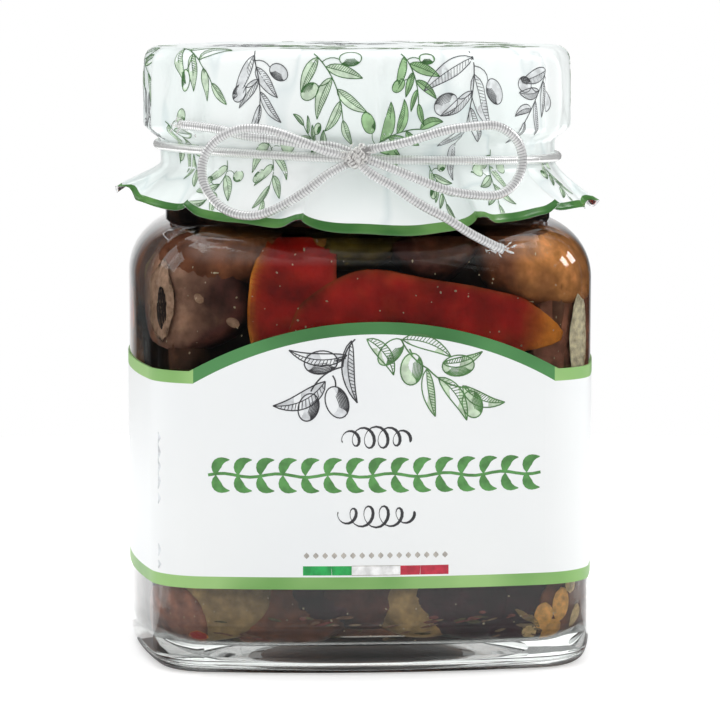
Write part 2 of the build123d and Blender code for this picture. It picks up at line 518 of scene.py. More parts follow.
white = (1, 1, 1, 1)
lighting = surround(white, studio.math("MULTIPLY_ADD", through, light_in_glass, ambient_light))
seen = choose(mirrored, lighting, surround(room_tone, 1.0))
seen = choose(ray["Is Camera Ray"], seen, surround(white, 1.0))
studio.join(seen, studio.tree.nodes["World Output"].inputs["Surface"])

# %% Lamps
jar_middle = Vector((0, 0, 0.045))


def add_lamp(name, place, size, watts):
    """A square soft lamp that faces the jar's middle."""
    data = bpy.data.lights.new(name, "AREA")
    data.size = size
    data.energy = watts
    lamp = bpy.data.objects.new(name, data)
    lamp.location = place
    lamp.rotation_euler = (jar_middle - lamp.location).to_track_quat("-Z", "Y").to_euler()
    bpy.context.collection.objects.link(lamp)


add_lamp("lamp_top", (-0.05, 0.22, 0.72), 0.5, 1.3)
add_lamp("lamp_right", (0.6, 0.12, 0.36), 0.16, 0.9)
add_lamp("lamp_left", (-0.6, 0.2, 0.42), 0.35, 0.5)
add_lamp("lamp_back", (0.2, 0.65, 0.4), 0.3, 0.15)
print("lamps:", sorted(lamp.name for lamp in bpy.data.lights))

# %% [markdown]
# The floor is a pale disc. It glows white away from the jar, so that its edge can't be seen against the
# surround. Close by it takes the jar's soft shadow.

# %% Floor
bm = bmesh.new()
bmesh.ops.create_circle(bm, cap_ends=True, segments=96, radius=0.26)
mesh = bpy.data.meshes.new("floor")
bm.to_mesh(mesh)
bm.free()
studio_floor = bpy.data.objects.new("floor", mesh)
bpy.context.collection.objects.link(studio_floor)
recipe = Recipe("floor_white")
ray = recipe.node("LightPath").outputs
depth = recipe.node("SeparateXYZ", Vector=recipe.objects()).outputs["Y"]
mirrored = recipe.math("MAXIMUM", ray["Is Glossy Ray"], ray["Is Transmission Ray"])
mirrored = recipe.math("MULTIPLY", mirrored, recipe.math("GREATER_THAN", depth, 0.0))
shown = recipe.math("MAXIMUM", ray["Is Camera Ray"], mirrored)
away = recipe.node("VectorMath", {"operation": "LENGTH"}, Vector=recipe.objects())
far = recipe.node("MapRange", {"interpolation_type": "SMOOTHSTEP"}, Value=away.outputs["Value"],
                  From_Min=0.06, From_Max=0.2, To_Min=0.35, To_Max=1.0)
in_front = recipe.math("MULTIPLY", ray["Is Glossy Ray"], recipe.math("LESS_THAN", depth, 0.0))
floor_tone = recipe.mix(in_front, (0.85, 0.85, 0.85), (0.4, 0.4, 0.4))
glow = recipe.math("MULTIPLY", shown, far.outputs["Result"])
recipe.set(Base_Color=floor_tone, Roughness=0.9, Specular_IOR_Level=0.0, Emission_Color=white,
           Emission_Strength=glow)
mesh.materials.append(recipe.material)

# %% [markdown]
# Clear jar glass bends light and is very faintly green where it is thick. The oil fills it to just under the
# rim. Its piece reaches a fifth of a millimetre into the wall, so that no air shows between oil and glass.

# %% Glass
def give(node, material):
    for material_slot in frame["nodes"][node].material_slots:
        material_slot.material = material


recipe = Recipe("clear_glass")
recipe.set(Base_Color=(0.93, 0.97, 0.95, 1), Roughness=0.0, IOR=1.5, Transmission_Weight=1.0)
recipe.bump(recipe.noise(60.0, 2.0), 0.15, 0.0006)
give("glass_jar", recipe.material)

# %% Oil
bm = bmesh.new()
bm.from_mesh(frame["nodes"]["contents"].data)
bmesh.ops.remove_doubles(bm, verts=bm.verts, dist=2e-6)
bmesh.ops.recalc_face_normals(bm, faces=bm.faces)
bm.normal_update()
into_wall = 0.2 * MM
for vert, normal in [(vert, vert.normal.copy()) for vert in bm.verts]:
    vert.co += normal * into_wall
bmesh.ops.scale(bm, vec=(1 / MM,) * 3, verts=bm.verts)
recipe = Recipe("brown_oil")
recipe.set(Base_Color=white, Roughness=0.0, IOR=1.47, Transmission_Weight=1.0)
absorb = recipe.node("VolumeAbsorption", Density=45.0, Color=(0.72, 0.42, 0.22, 1))
recipe.join(absorb.outputs[0], recipe.tree.nodes["Material Output"].inputs["Volume"])
oil = new_piece("oil", bm, [recipe.material])
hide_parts("contents")

# %% [markdown]
# The olives, pepper and seeds lie against the inside of the glass, pressed a little flat where they touch
# it. To press them, each corner of their meshes that would come out through the wall is moved back to it.
# The wall's plan is four arcs with round corners, and it draws in at the heel and the shoulder.

# %% Press a point inside the wall
def wall_inset(z):
    """How far the inner wall at height z lies inside the jar's widest plan."""
    inset = wall + (shoulder_top - z) * wall_draft
    top = shoulder_top - wall
    radius = shoulder_radius - wall
    if z > top - radius:
        rise = min(z - (top - radius), radius)
        inset += radius - math.sqrt(radius ** 2 - rise ** 2)
    if z < floor_inside + inner_heel:
        drop = min(floor_inside + inner_heel - z, inner_heel)
        inset += inner_heel - math.sqrt(inner_heel ** 2 - drop ** 2)
    return inset


arc_shift = side_bow - jar_half
corner_reach = side_bow - plan_corner
corner_middle = (-arc_shift + math.sqrt(2 * corner_reach ** 2 - arc_shift ** 2)) / 2


def outward(x, y):
    """The distance of a point outside the jar's widest plan, and the direction out."""
    best = (-1e9, Vector((1, 0, 0)))
    if abs(x) > corner_middle and abs(y) > corner_middle:
        arm = Vector((abs(x) - corner_middle, abs(y) - corner_middle, 0))
        way = Vector((math.copysign(arm.x, x), math.copysign(arm.y, y), 0)).normalized()
        return arm.length - plan_corner, way
    for middle in ((0, arc_shift), (0, -arc_shift), (arc_shift, 0), (-arc_shift, 0)):
        arm = Vector((x - middle[0], y - middle[1], 0))
        if arm.length - side_bow > best[0]:
            best = (arm.length - side_bow, arm.normalized())
    return best


def inside_height(z):
    return min(max(z, floor_inside + 0.3), shoulder_top - wall - 0.4)


def pressed(point, gap=0.12):
    """The point, moved inside the oil's wall if it lies outside it."""
    z = inside_height(point.z)
    distance, way = outward(point.x, point.y)
    over = distance + wall_inset(z) + gap
    moved = Vector((point.x, point.y, z))
    return moved - way * over if over > 0 else moved


def shade_at(point, fall=3.2, least=0.12):
    """The painted shade of a spot: what touches the glass is light, what lies deeper in the oil is dark."""
    depth = -(outward(point.x, point.y)[0] + wall_inset(inside_height(point.z)))
    return max(least, math.exp(-max(0, depth - 0.4) / fall))


# %% [markdown]
# A pitted olive is an egg shape with a punched hole at one end, wrinkled by the brine. Brown, purple and
# green ones are mixed, and each has its own tone, painted on its corners as an attribute that the material
# reads. Spots that lie deeper in the oil are painted darker in that attribute, a painted shade.

# %% Add an olive
def smooth_share(value, low, high):
    share = min(1, max(0, (value - low) / (high - low)))
    return share * share * (3 - 2 * share)


def tone_layer(bm):
    layers = bm.verts.layers.float_color
    return layers.get("tone") or layers.new("tone")


def add_olive(bm, middle, size, turn, tone, seed, hole=0.34, tip=None):
    """Each olive keeps its own small gap to the wall, so that no two lie in the same surface."""
    gap = 0.14 + 0.55 * (seed * 0.618 % 1)
    layer = tone_layer(bm)
    verts = bmesh.ops.create_uvsphere(bm, u_segments=30, v_segments=22, radius=1.0)["verts"]
    spin = Matrix.Identity(3)
    for angle, axis in zip(turn, "XYZ"):
        spin = Matrix.Rotation(math.radians(angle), 3, axis) @ spin
    shift = Vector((seed * 7.3, seed * 3.1, seed * 1.7))
    for vert in verts:
        p = vert.co.copy()
        polar = math.acos(max(-1, min(1, p.z)))
        swell = 1 + 0.05 * noise.noise(p * 1.6 + shift) + 0.022 * noise.noise(p * 5.0 + shift)
        q = Vector((p.x * size[0], p.y * size[1], p.z * size[2])) * 0.5 * swell
        if hole and polar < hole:
            share = polar / hole
            narrow = 0.55 + 0.45 * share
            q = Vector((q.x * narrow, q.y * narrow, q.z - size[2] * 0.36 * (1 - share ** 2)))
        vert.co = pressed(spin @ q + Vector(middle), gap)
        share = smooth_share(p.z + 0.35 * noise.noise(p * 2 + shift), -0.1, 0.9)
        blotch = 1 + 0.45 * noise.noise(p * 2.6 + shift * 2)
        # The olive's tone is multiplied by the painted shade from shade_at.
        vert[layer] = (*Vector(tone).lerp(Vector(tip or tone), share) * blotch * shade_at(vert.co), 1)


# %% Olive skin
def olive_skin(name):
    recipe = Recipe(name)
    broad = recipe.noise(120.0, 4.0, 0.6)
    fine = recipe.noise(700.0, 3.0)
    patches = recipe.ramp(broad, [(0.3, (0.45, 0.40, 0.42)), (0.5, (0.95, 0.9, 0.9)),
                                  (0.75, (1.55, 1.4, 1.25))])
    specks = recipe.ramp(fine, [(0.35, (0.75, 0.72, 0.7)), (0.65, (1.15, 1.12, 1.1))])
    patched = recipe.mix(1.0, recipe.painted_tone(), patches, "MULTIPLY")
    skin = recipe.mix(1.0, patched, specks, "MULTIPLY")
    recipe.set(Base_Color=skin, Roughness=0.4, Specular_IOR_Level=0.14)
    recipe.bump(fine, 0.35, 0.0003)
    return recipe.material


brown = (0.24, 0.085, 0.040)
mauve = (0.12, 0.040, 0.032)
purple = (0.055, 0.012, 0.022)
amber = (0.42, 0.18, 0.06)
green = (0.14, 0.10, 0.020)
khaki = (0.42, 0.29, 0.13)
tan = (0.46, 0.26, 0.18)
pink = (0.36, 0.15, 0.10)
orange = (0.78, 0.33, 0.10)

# Middle, size, turn in degrees, tone, tone at the tip, and a seed for the wrinkles.
front_olives = [
    ((-24.6, -23.5, 51.6), (14, 16, 19), (0, -86, 24), mauve, tan, 1),
    ((-20.5, -22.5, 60.6), (17, 16, 17), (10, 35, 20), brown, amber, 2),
    ((-29.8, -21.0, 60.0), (13, 13, 17), (0, 20, 60), khaki, amber, 3),
    ((-10.0, -18.0, 62.0), (15, 14, 18), (20, 70, 0), mauve, green, 4),
    ((-1.6, -23.0, 59.5), (10, 13, 16), (0, 80, 10), green, green, 5),
    ((8.6, -23.0, 60.0), (13, 16, 15), (30, 60, 0), mauve, brown, 6),
    ((22.6, -22.6, 58.4), (17, 18, 21), (20, 84, -14), brown, orange, 7),
    ((27.5, -25.0, 46.8), (13, 13, 16), (0, 10, 30), pink, brown, 8),
    ((9.0, -20.0, 45.0), (16, 14, 19), (0, 80, 0), purple, mauve, 9),
    ((-9.0, -20.0, 43.0), (16, 14, 19), (0, 80, 0), purple, purple, 10),
    ((-22.0, -25.2, 10.8), (13, 13, 20), (0, 88, 0), khaki, khaki, 11),
    ((-29.0, -25.5, 6.5), (12, 12, 15), (0, 80, 40), pink, brown, 13),
    ((-6.2, -24.6, 11.4), (12, 13, 15), (0, 88, 0), purple, purple, 14),
    ((6.8, -24.8, 10.6), (13, 13, 17), (0, 88, 0), khaki, brown, 15),
    ((20.5, -25.2, 10.2), (13, 13, 17), (0, 88, 0), purple, purple, 16),
    ((29.5, -25.0, 9.0), (12, 14, 15), (0, 80, 90), brown, pink, 12),
]
for number, side in enumerate((1, -1)):
    for level, (height, tone) in enumerate([(45.0, mauve), (57.5, brown), (9.5, purple)]):
        front_olives.append(((25.5 * side, 25.0, height), (16, 16, 18), (30 * level, 70, 40 * side), tone,
                             brown, 60 + 3 * number + level))
no_hole = (11, 13, 14, 15, 16)
bm = bmesh.new()
for middle, size, turn, tone, tip, seed in front_olives:
    add_olive(bm, middle, size, turn, tone, seed, hole=0 if seed in no_hole else 0.34, tip=tip)

# %% Olives round the other sides and along the bottom
kinds = [brown, mauve, purple, amber, green, brown, purple, mauve]
dice = random.Random(4)


def around(turn, inwards):
    """A point in the plan, turn degrees from the front, some mm inside the inner wall."""
    way = Vector((math.sin(math.radians(turn)), -math.cos(math.radians(turn)), 0))
    low, high = 10.0, 50.0
    for _ in range(24):
        middle = (low + high) / 2
        if outward(*(way * middle).xy)[0] + wall + inwards < 0:
            low = middle
        else:
            high = middle
    return way * low


seed = 20
for i in range(15):
    turn = 62 + i * 236 / 14 + dice.uniform(-3, 3)
    place = around(turn, 7.5)
    middle = (place.x, place.y, dice.choice([46, 50, 55, 58]) + dice.uniform(-1.5, 1.5))
    size = (dice.uniform(14, 18), dice.uniform(14, 17), dice.uniform(17, 21))
    lie = (dice.uniform(-40, 40), dice.uniform(30, 100), turn)
    add_olive(bm, middle, size, lie, dice.choice(kinds), seed)
    seed += 1
for i in range(14):
    turn = 60 + i * 240 / 13 + dice.uniform(-3, 3)
    place = around(turn, 7.0)
    middle = (place.x, place.y, 62 if i % 2 else 41)
    lie = (dice.uniform(-40, 40), dice.uniform(30, 100), turn)
    add_olive(bm, middle, (15, 15, 18), lie, dice.choice(kinds), seed)
    seed += 1
bottom_tones = [purple, brown, mauve, purple, brown, mauve, purple, brown, purple, mauve, brown, green,
                purple, mauve]
for i, tone in enumerate(bottom_tones):
    turn = -52 + i * 360 / 14 + dice.uniform(-3, 3)
    place = around(turn, 7.0)
    middle = (place.x, place.y, 9.5 + dice.uniform(-1.0, 2.5))
    size = (dice.uniform(12, 15), dice.uniform(14, 17), dice.uniform(16, 20))
    add_olive(bm, middle, size, (dice.uniform(-30, 30), dice.uniform(60, 100), turn), tone, seed)
    seed += 1
new_piece("olives", bm, [olive_skin("olive_skin")])

# %% [markdown]
# Behind the outer row the jar is dark. A lumpy core stands for the olives that can't be told apart there, and
# most of it is painted near-black, a painted shade. It comes near the wall at the corners, the bottom and the
# neck, and it is painted brown in those places.

# %% Core
bm = bmesh.new()
bmesh.ops.create_cube(bm, size=2.0)
bmesh.ops.subdivide_edges(bm, edges=bm.edges, cuts=23, use_grid_fill=True)
core_low, core_high = floor_inside + 1.0, shoulder_top + 12
for vert in bm.verts:
    p = vert.co.copy()
    height = core_low + (p.z + 1) / 2 * (core_high - core_low)
    lumps = noise.noise(Vector((p.x * 5, p.y * 5, height * 0.2))) * 1.3
    if height < shoulder_top - wall - 1:
        corner = smooth_share(min(abs(p.x), abs(p.y)), 0.62, 0.86)
        gap = 3.6 - 2.9 * corner + lumps * (1 - 0.6 * corner)
        vert.co = pressed(Vector((p.x * jar_half, p.y * jar_half, height)), gap)
    else:
        vert.co = Vector((p.x, p.y, 0)).normalized() * max(abs(p.x), abs(p.y)) * (24.3 + 0.4 * lumps)
        vert.co.z = height
layer = tone_layer(bm)
painted_shade_core, brown_core = Vector((0.010, 0.004, 0.003)), Vector((0.26, 0.12, 0.07))
for vert in bm.verts:
    # Painted shade: the core is brown near the glass, the bottom and the neck, and near-black elsewhere.
    near = max(shade_at(vert.co, 1.2, 0.0) - 0.05, 0.8 * smooth_share(vert.co.z, core_low + 1.5, core_low))
    near = max(near, 0.9 * smooth_share(vert.co.z, shoulder_top - 5, shoulder_top - 1))
    near *= 0.6 + 0.8 * noise.noise(vert.co * 0.12)
    vert[layer] = (*painted_shade_core.lerp(brown_core, min(1, max(0, near))), 1)
new_piece("olives_inside", bm, [olive_skin("core_skin")])

# %% [markdown]
# Roasted red pepper is cut in strips about 2 mm thick. The skin is deep red and the cut edges are orange.

# %% Pepper strips
skin_red, cut_orange = Vector((0.48, 0.012, 0.008)), Vector((0.85, 0.27, 0.03))


def add_strip(bm, route, widths, lean, thick, seed, steps=40, rows=10, cut=(0.5, 0.5, 0.6, 0.6)):
    """A strip along the route. lean is the direction across it, cut how orange its four edges are."""
    line = smooth_line(route, line_length([Vector(p) for p in route]) * 0.97 / steps)
    last = len(line) - 1
    layer = tone_layer(bm)
    lean = Vector(lean).normalized()

    def width_at(v):
        spot = v * (len(widths) - 1)
        i = min(int(spot), len(widths) - 2)
        return widths[i] + (widths[i + 1] - widths[i]) * (spot - i)

    def place(u, v):
        i = round(v * last)
        along = (line[min(i + 1, last)] - line[max(i - 1, 0)]).normalized()
        across = (lean - along * lean.dot(along)).normalized()
        out = along.cross(across)
        angle = 2 * math.pi * u
        half = width_at(v) / 2
        end = min(1, 6 * v + 0.05, 6 * (1 - v) + 0.05) ** 0.5
        wide = math.copysign(abs(math.cos(angle)) ** 0.6, math.cos(angle)) * half * end
        deep = math.copysign(abs(math.sin(angle)) ** 0.5, math.sin(angle)) * thick / 2
        wave = noise.noise(Vector((wide * 0.25, v * 6, seed * 3.3))) * 0.9
        return pressed(line[i] + across * wide + out * (deep + wave), 0.6 / seed)

    faces = bent_grid(bm, rows * 2, last, place, rolled=True)
    uv = bm.loops.layers.uv.verify()
    for face in faces:
        for loop in face.loops:
            u, v = loop[uv].uv
            lean_side = math.cos(2 * math.pi * u)
            share = max(abs(lean_side) ** 6 * (cut[0] if lean_side > 0 else cut[1]),
                        cut[2] * smooth_share(v, 0.12, 0.0), cut[3] * smooth_share(v, 0.84, 0.97))
            spot = loop.vert.co
            worn = 1 + 0.5 * noise.noise(spot * 0.35 + Vector((seed, 0, 0)))
            share = min(1, share + 0.10 * max(0, noise.noise(spot * 0.5 + Vector((0, seed, 0)))))
            # Painted shade: the skin is darker along the strip's uncut edges, and shade_at darkens it deeper
            # in the oil.
            rim = 1 - 0.6 * abs(lean_side) ** 8
            red = skin_red * worn * rim * shade_at(spot, 5.0, 0.2)
            loop.vert[layer] = (*red.lerp(cut_orange, share), 1)
    close_ends(bm, faces)


upward, backward = (0, 0, 1), (0, 1, 0)
bm = bmesh.new()
add_strip(bm, [(-9.6, -29.0, 66.0), (-9.8, -30.2, 61.0), (-11.2, -30.2, 54.5), (-12.2, -29.4, 48.0),
               (-11.6, -28.0, 42.0)],
          [8.0, 10.0, 12.2, 11.0, 8.0], (1, 0, 0), 2.2, 1, cut=(0.1, 0.9, 0.2, 0.5))
add_strip(bm, [(-12.5, -29.6, 43.0), (-7.5, -30.3, 48.0), (-1.5, -30.5, 51.2), (6.0, -30.3, 50.2),
               (14.5, -29.8, 49.2), (21.0, -29.2, 48.0), (27.0, -27.6, 46.4)],
          [6.0, 9.5, 10.5, 9.5, 9.0, 8.2, 6.5], upward, 2.4, 2, cut=(0.15, 0.3, 0.5, 1.0))
add_strip(bm, [(30.0, 2.0, 60.0), (30.6, 6.0, 52.0), (30.2, 3.0, 43.0)], [7.0, 9.0, 7.0], backward, 2.2, 4)
add_strip(bm, [(16.0, 30.5, 48.0), (5.0, 30.8, 53.0), (-8.0, 30.6, 49.0)], [6.0, 9.0, 7.0], upward, 2.2, 5)
add_strip(bm, [(-30.6, 14.0, 47.0), (-30.8, 2.0, 52.0), (-30.4, -8.0, 47.0)], [6.0, 8.0, 6.0], upward, 2.2, 6)
add_strip(bm, [(-27.5, -29.0, 5.0), (-25.5, -30.5, 5.3), (-23.4, -31.0, 4.9)], [0.8, 1.5, 0.7], upward, 1.0,
          7, steps=14, cut=(1, 1, 1, 1))
add_strip(bm, [(12.0, 29.6, 6.5), (4.0, 30.2, 8.0), (-6.0, 29.8, 7.0)], [3.0, 4.5, 3.0], upward, 1.8, 8)
recipe = Recipe("roasted_pepper")
blotches = recipe.noise(160.0, 4.0, 0.6)
shade = recipe.ramp(blotches, [(0.3, (0.45, 0.35, 0.35)), (0.5, (0.95, 0.9, 0.9)), (0.72, (1.35, 1.5, 1.4))])
skin = recipe.mix(1.0, recipe.painted_tone(), shade, "MULTIPLY")
recipe.set(Base_Color=skin, Roughness=0.32, Specular_IOR_Level=0.2)
recipe.bump(recipe.noise(900.0, 3.0), 0.6, 0.0005)
new_piece("pepper_strips", bm, [recipe.material])

# %% [markdown]
# Seeds and small bits: honey-coloured seeds and bits of herb at the foot, a woody stem, a cream strip, the
# cut end of a pitted olive with a near-black disc painted as the shade in its hole, and flecks of pepper
# seed.
# They are one piece, each with its tone.

# %% Seeds and flecks
def add_seed(bm, middle, size, turn, tone, rough=0.08):
    """A lumpy seed, turned about the line from front to back."""
    layer = tone_layer(bm)
    verts = bmesh.ops.create_icosphere(bm, subdivisions=3 if max(size) > 1 else 1, radius=0.5)["verts"]
    spin = Matrix.Rotation(turn, 3, "Y")
    for vert in verts:
        p = vert.co * (1 + rough * noise.noise(vert.co * 5 + Vector(middle)))
        vert.co = pressed(spin @ Vector((p.x * size[0], p.y * size[1], p.z * size[2])) + Vector(middle), 0.08)
        vert[layer] = (*tone, 1)


bm = bmesh.new()
honey, straw, cream = (1.0, 0.50, 0.14), (0.95, 0.66, 0.34), (0.98, 0.84, 0.62)
for x, y, z, wide, high, tone in [(24.2, -30.0, 7.3, 3.6, 4.0, honey), (27.6, -29.0, 8.9, 4.0, 4.8, honey),
                                  (26.8, -29.6, 4.9, 5.2, 3.8, honey), (29.4, -27.6, 11.8, 2.8, 3.0, straw),
                                  (22.2, -30.6, 5.2, 2.0, 1.8, straw), (30.6, -26.0, 7.0, 2.6, 3.2, straw)]:
    add_seed(bm, (x, y, z), (wide, 3.0, high), 0.3, tone)
herb_tones = [(0.28, 0.14, 0.09), (0.3, 0.08, 0.07), (0.16, 0.12, 0.05), (0.34, 0.22, 0.14)]
for _ in range(46):
    x, z = dice.uniform(-22, 27), dice.uniform(4.4, 8.4)
    size = (dice.uniform(0.8, 2.6), 0.5, dice.uniform(0.2, 0.55))
    add_seed(bm, (x, -31.6, z), size, dice.uniform(-0.25, 0.25), dice.choice(herb_tones), 0.3)
add_seed(bm, (21.9, -31.0, 7.2), (4.6, 0.8, 0.9), 0.62, (0.40, 0.25, 0.11), 0.2)
for x, z, tone in [(-24.9, 52.2, tan), (-19.7, 48.9, tan), (-7.6, 59.2, (0.5, 0.2, 0.05))]:
    add_seed(bm, (x, -31.0, z), (2.0, 0.8, 1.3), 0.4, tone)
add_seed(bm, (29.8, -25.6, 46.2), (3.8, 6.0, 12.0), 0.05, cream, 0.2)
add_seed(bm, (-31.4, -25.0, 51.2), (8.0, 8.0, 10.0), 0.1, (0.55, 0.33, 0.24), 0.25)
# Painted shade: a near-black disc stands for the shadow inside the olive's hole.
add_seed(bm, (-31.6, -25.6, 50.6), (2.8, 3.4, 5.6), 0.1, (0.03, 0.012, 0.01), 0.25)
for _ in range(230):
    x = dice.uniform(-30, 30)
    z = dice.choice([dice.uniform(43, 60), dice.uniform(43, 60), dice.uniform(4, 11)])
    side = dice.choice([0, 0, 0, 1, 2, 3])
    spot = Matrix.Rotation(side * math.pi / 2, 3, "Z") @ Vector((x, -31.5, z))
    size = dice.uniform(0.12, 0.34)
    add_seed(bm, spot, (size, size, size * dice.uniform(0.7, 1.6)), dice.uniform(0, 3), (0.7, 0.55, 0.38))
recipe = Recipe("seed_skin")
grain = recipe.noise(1100.0, 3.0)
shade = recipe.ramp(grain, [(0.3, (0.6, 0.55, 0.5)), (0.7, (1.2, 1.2, 1.15))])
skin = recipe.mix(1.0, recipe.painted_tone(), shade, "MULTIPLY")
recipe.set(Base_Color=skin, Roughness=0.5, Specular_IOR_Level=0.15)
recipe.bump(grain, 0.5, 0.0002)
new_piece("seeds_and_flecks", bm, [recipe.material])

# %% [markdown]
# The foil paper is a round sheet. It lies flat on the lid, turns down over its edge, is drawn in to the
# groove by the elastic, and flares below it. The paper can't shrink, so what is too wide at the groove lies
# in folds: wide smooth panels overlap at a few sharp Z-shaped folds. One function gives the place of any
# spot of the flat sheet, from its distance to the middle and its direction. The mesh and the print on it
# both use that function.

# %% The paper's run from the middle to the hem
paper_edge_radius = 2.0
cover_radius = 30.5
groove_radius = 28.3
lid_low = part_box("lid")[0][2] / MM
groove_top = lid_low - 2.5
groove_low = groove_top - 3.1
flat_top = cover_radius - paper_edge_radius
turn_length = paper_edge_radius * math.pi / 2
wall_length = paper_high - paper_edge_radius - lid_low
draw_length = math.hypot(cover_radius - groove_radius, lid_low - groove_top)
groove_length = groove_top - groove_low
skirt_length = 9.2
wall_start = flat_top + turn_length
draw_start = wall_start + wall_length
groove_start = draw_start + draw_length
skirt_start = groove_start + groove_length
paper_radius = skirt_start + skirt_length
print(f"the flat paper is {2 * paper_radius:.1f} mm across")

# The hem's reach from the axis and its height, at directions in degrees from the front, uneven as it was
# folded.
hem_keys = [
    (-180, 33.4, 63.4), (-150, 34.6, 62.8), (-122, 33.2, 64.6), (-92, 34.9, 66.0), (-72, 34.2, 64.7),
    (-52, 33.4, 63.6), (-36, 33.6, 62.6), (-20, 33.9, 61.9), (-6, 32.6, 61.3), (8, 32.6, 60.9),
    (20, 33.4, 61.5), (34, 33.6, 62.5), (50, 33.2, 63.3), (66, 33.6, 63.6), (84, 33.8, 62.6),
    (104, 33.6, 63.8), (128, 34.8, 63.0), (154, 33.2, 64.2), (180, 33.4, 63.4),
]
# The folds: direction, half width in degrees, how far it overlaps, which panel lies on top, and its depth
# in mm on the lid's wall.
paper_folds = [
    (-17.5, 3.4, 1.15, 1, 0.0), (25.0, 3.2, 1.1, -1, 0.45), (52.0, 2.6, 0.9, 1, 0.75),
    (-50.0, 3.0, 0.5, -1, 0.35), (-78.0, 2.6, 0.9, 1, 0.5), (0.5, 1.5, 0.0, 1, -0.55),
    (83.0, 3.5, 0.9, -1, 0.4), (112.0, 3.5, 1.1, 1, 0.5), (143.0, 3.0, 1.0, 1, 0.3),
    (176.0, 3.5, 1.1, -1, 0.6), (-150.0, 3.2, 1.0, 1, 0.4), (-114.0, 3.4, 1.1, -1, 0.5),
]


def hem_at(turn):
    """The hem's reach and height in one direction."""
    turn = (turn + 180) % 360 - 180
    for (a, r0, z0), (b, r1, z1) in zip(hem_keys, hem_keys[1:]):
        if a <= turn <= b:
            share = (1 - math.cos(math.pi * (turn - a) / (b - a))) / 2
            return r0 + (r1 - r0) * share, z0 + (z1 - z0) * share
    return hem_keys[0][1:]


def paper_point(reach, turn, lift=0.0):
    """The place of the flat paper's spot, reach mm from its middle, turn degrees from the front."""
    hem_radius, hem_height = hem_at(turn)
    hemward = max(0, (reach - skirt_start) / skirt_length)
    if reach < flat_top:
        radius, height = reach, paper_high
    elif reach < wall_start:
        bend = (reach - flat_top) / paper_edge_radius
        radius = flat_top + paper_edge_radius * math.sin(bend)
        height = paper_high - paper_edge_radius * (1 - math.cos(bend))
    elif reach < draw_start:
        radius, height = cover_radius, paper_high - paper_edge_radius - (reach - wall_start)
    elif reach < groove_start:
        share = (reach - draw_start) / draw_length
        radius = cover_radius + (groove_radius - cover_radius) * smooth_share(share, 0, 1)
        height = lid_low + (groove_top - lid_low) * share
    elif reach < skirt_start:
        radius, height = groove_radius, groove_top - (reach - groove_start)
    else:
        flare = smooth_share(reach, skirt_start, paper_radius) * 0.35 + hemward * 0.65
        radius = groove_radius + (hem_radius - groove_radius) * flare
        height = groove_low + (hem_height - groove_low) * hemward
    on_wall = smooth_share(reach, flat_top - 1, wall_start + 2)
    on_wall *= 1 - smooth_share(reach, draw_start, groove_start)
    gathered = smooth_share(reach, draw_start - 4, groove_start)
    spread = turn
    lean = math.radians(turn)
    spot = Vector((math.sin(lean), math.cos(lean), 0))
    for angle, width, overlap, top, depth in paper_folds:
        if depth > 0.6:
            angle += 6.0 * top * on_wall
        t = ((turn - angle + 180) % 360 - 180) / width
        if abs(t) > 4:
            continue
        bell = math.exp(-t * t)
        if overlap:
            spread -= width * overlap * 1.35 * t * bell * (0.25 * gathered + 0.75 * hemward)
            stack = -top * math.tanh(1.6 * t) * math.exp(-(t / 2.2) ** 2)
            radius += stack * (0.25 * gathered + 0.85 * hemward)
            curl = math.exp(-((t * top + 0.95) / 0.42) ** 2) * hemward ** 2
            radius += 0.5 * curl
            height += (1.5 * bell + 0.7 * curl) * hemward ** 2
        trough, ridge = math.exp(-(t / 0.8) ** 2), math.exp(-((t - top * 1.7) / 1.1) ** 2)
        radius -= depth * on_wall * (trough - 0.75 * ridge)
    fine = noise.noise(spot * 9.0 + Vector((0, 0, 4.1)))
    radius += 0.42 * abs(fine) * math.exp(-((reach - groove_start) / 3.6) ** 2)
    radius += on_wall * 0.28 * noise.noise(spot * 2.6 + Vector((0, 0, reach * 0.05)))
    crease = abs(noise.noise(spot * 3.4 + Vector((reach * 0.04, 0, 2.0))))
    radius += on_wall * 0.45 * smooth_share(crease, 0.22, 0.0)
    radius += 0.35 * hemward * noise.noise(spot * 5.0 + Vector((0, 0, 9.0)))
    height += 0.12 * (1 - on_wall) * (1 - gathered) * noise.noise(spot * reach * 0.12)
    turned = math.radians(spread)
    place = Vector((radius * math.sin(turned), -radius * math.cos(turned), height))
    if lift:
        step = 0.08
        down = paper_point(reach + step, turn) - place
        side = paper_point(reach, turn + math.degrees(step / max(reach, 1))) - place
        place += side.cross(down).normalized() * -lift
    return place


# %% The paper's mesh
hem_band = 1.5


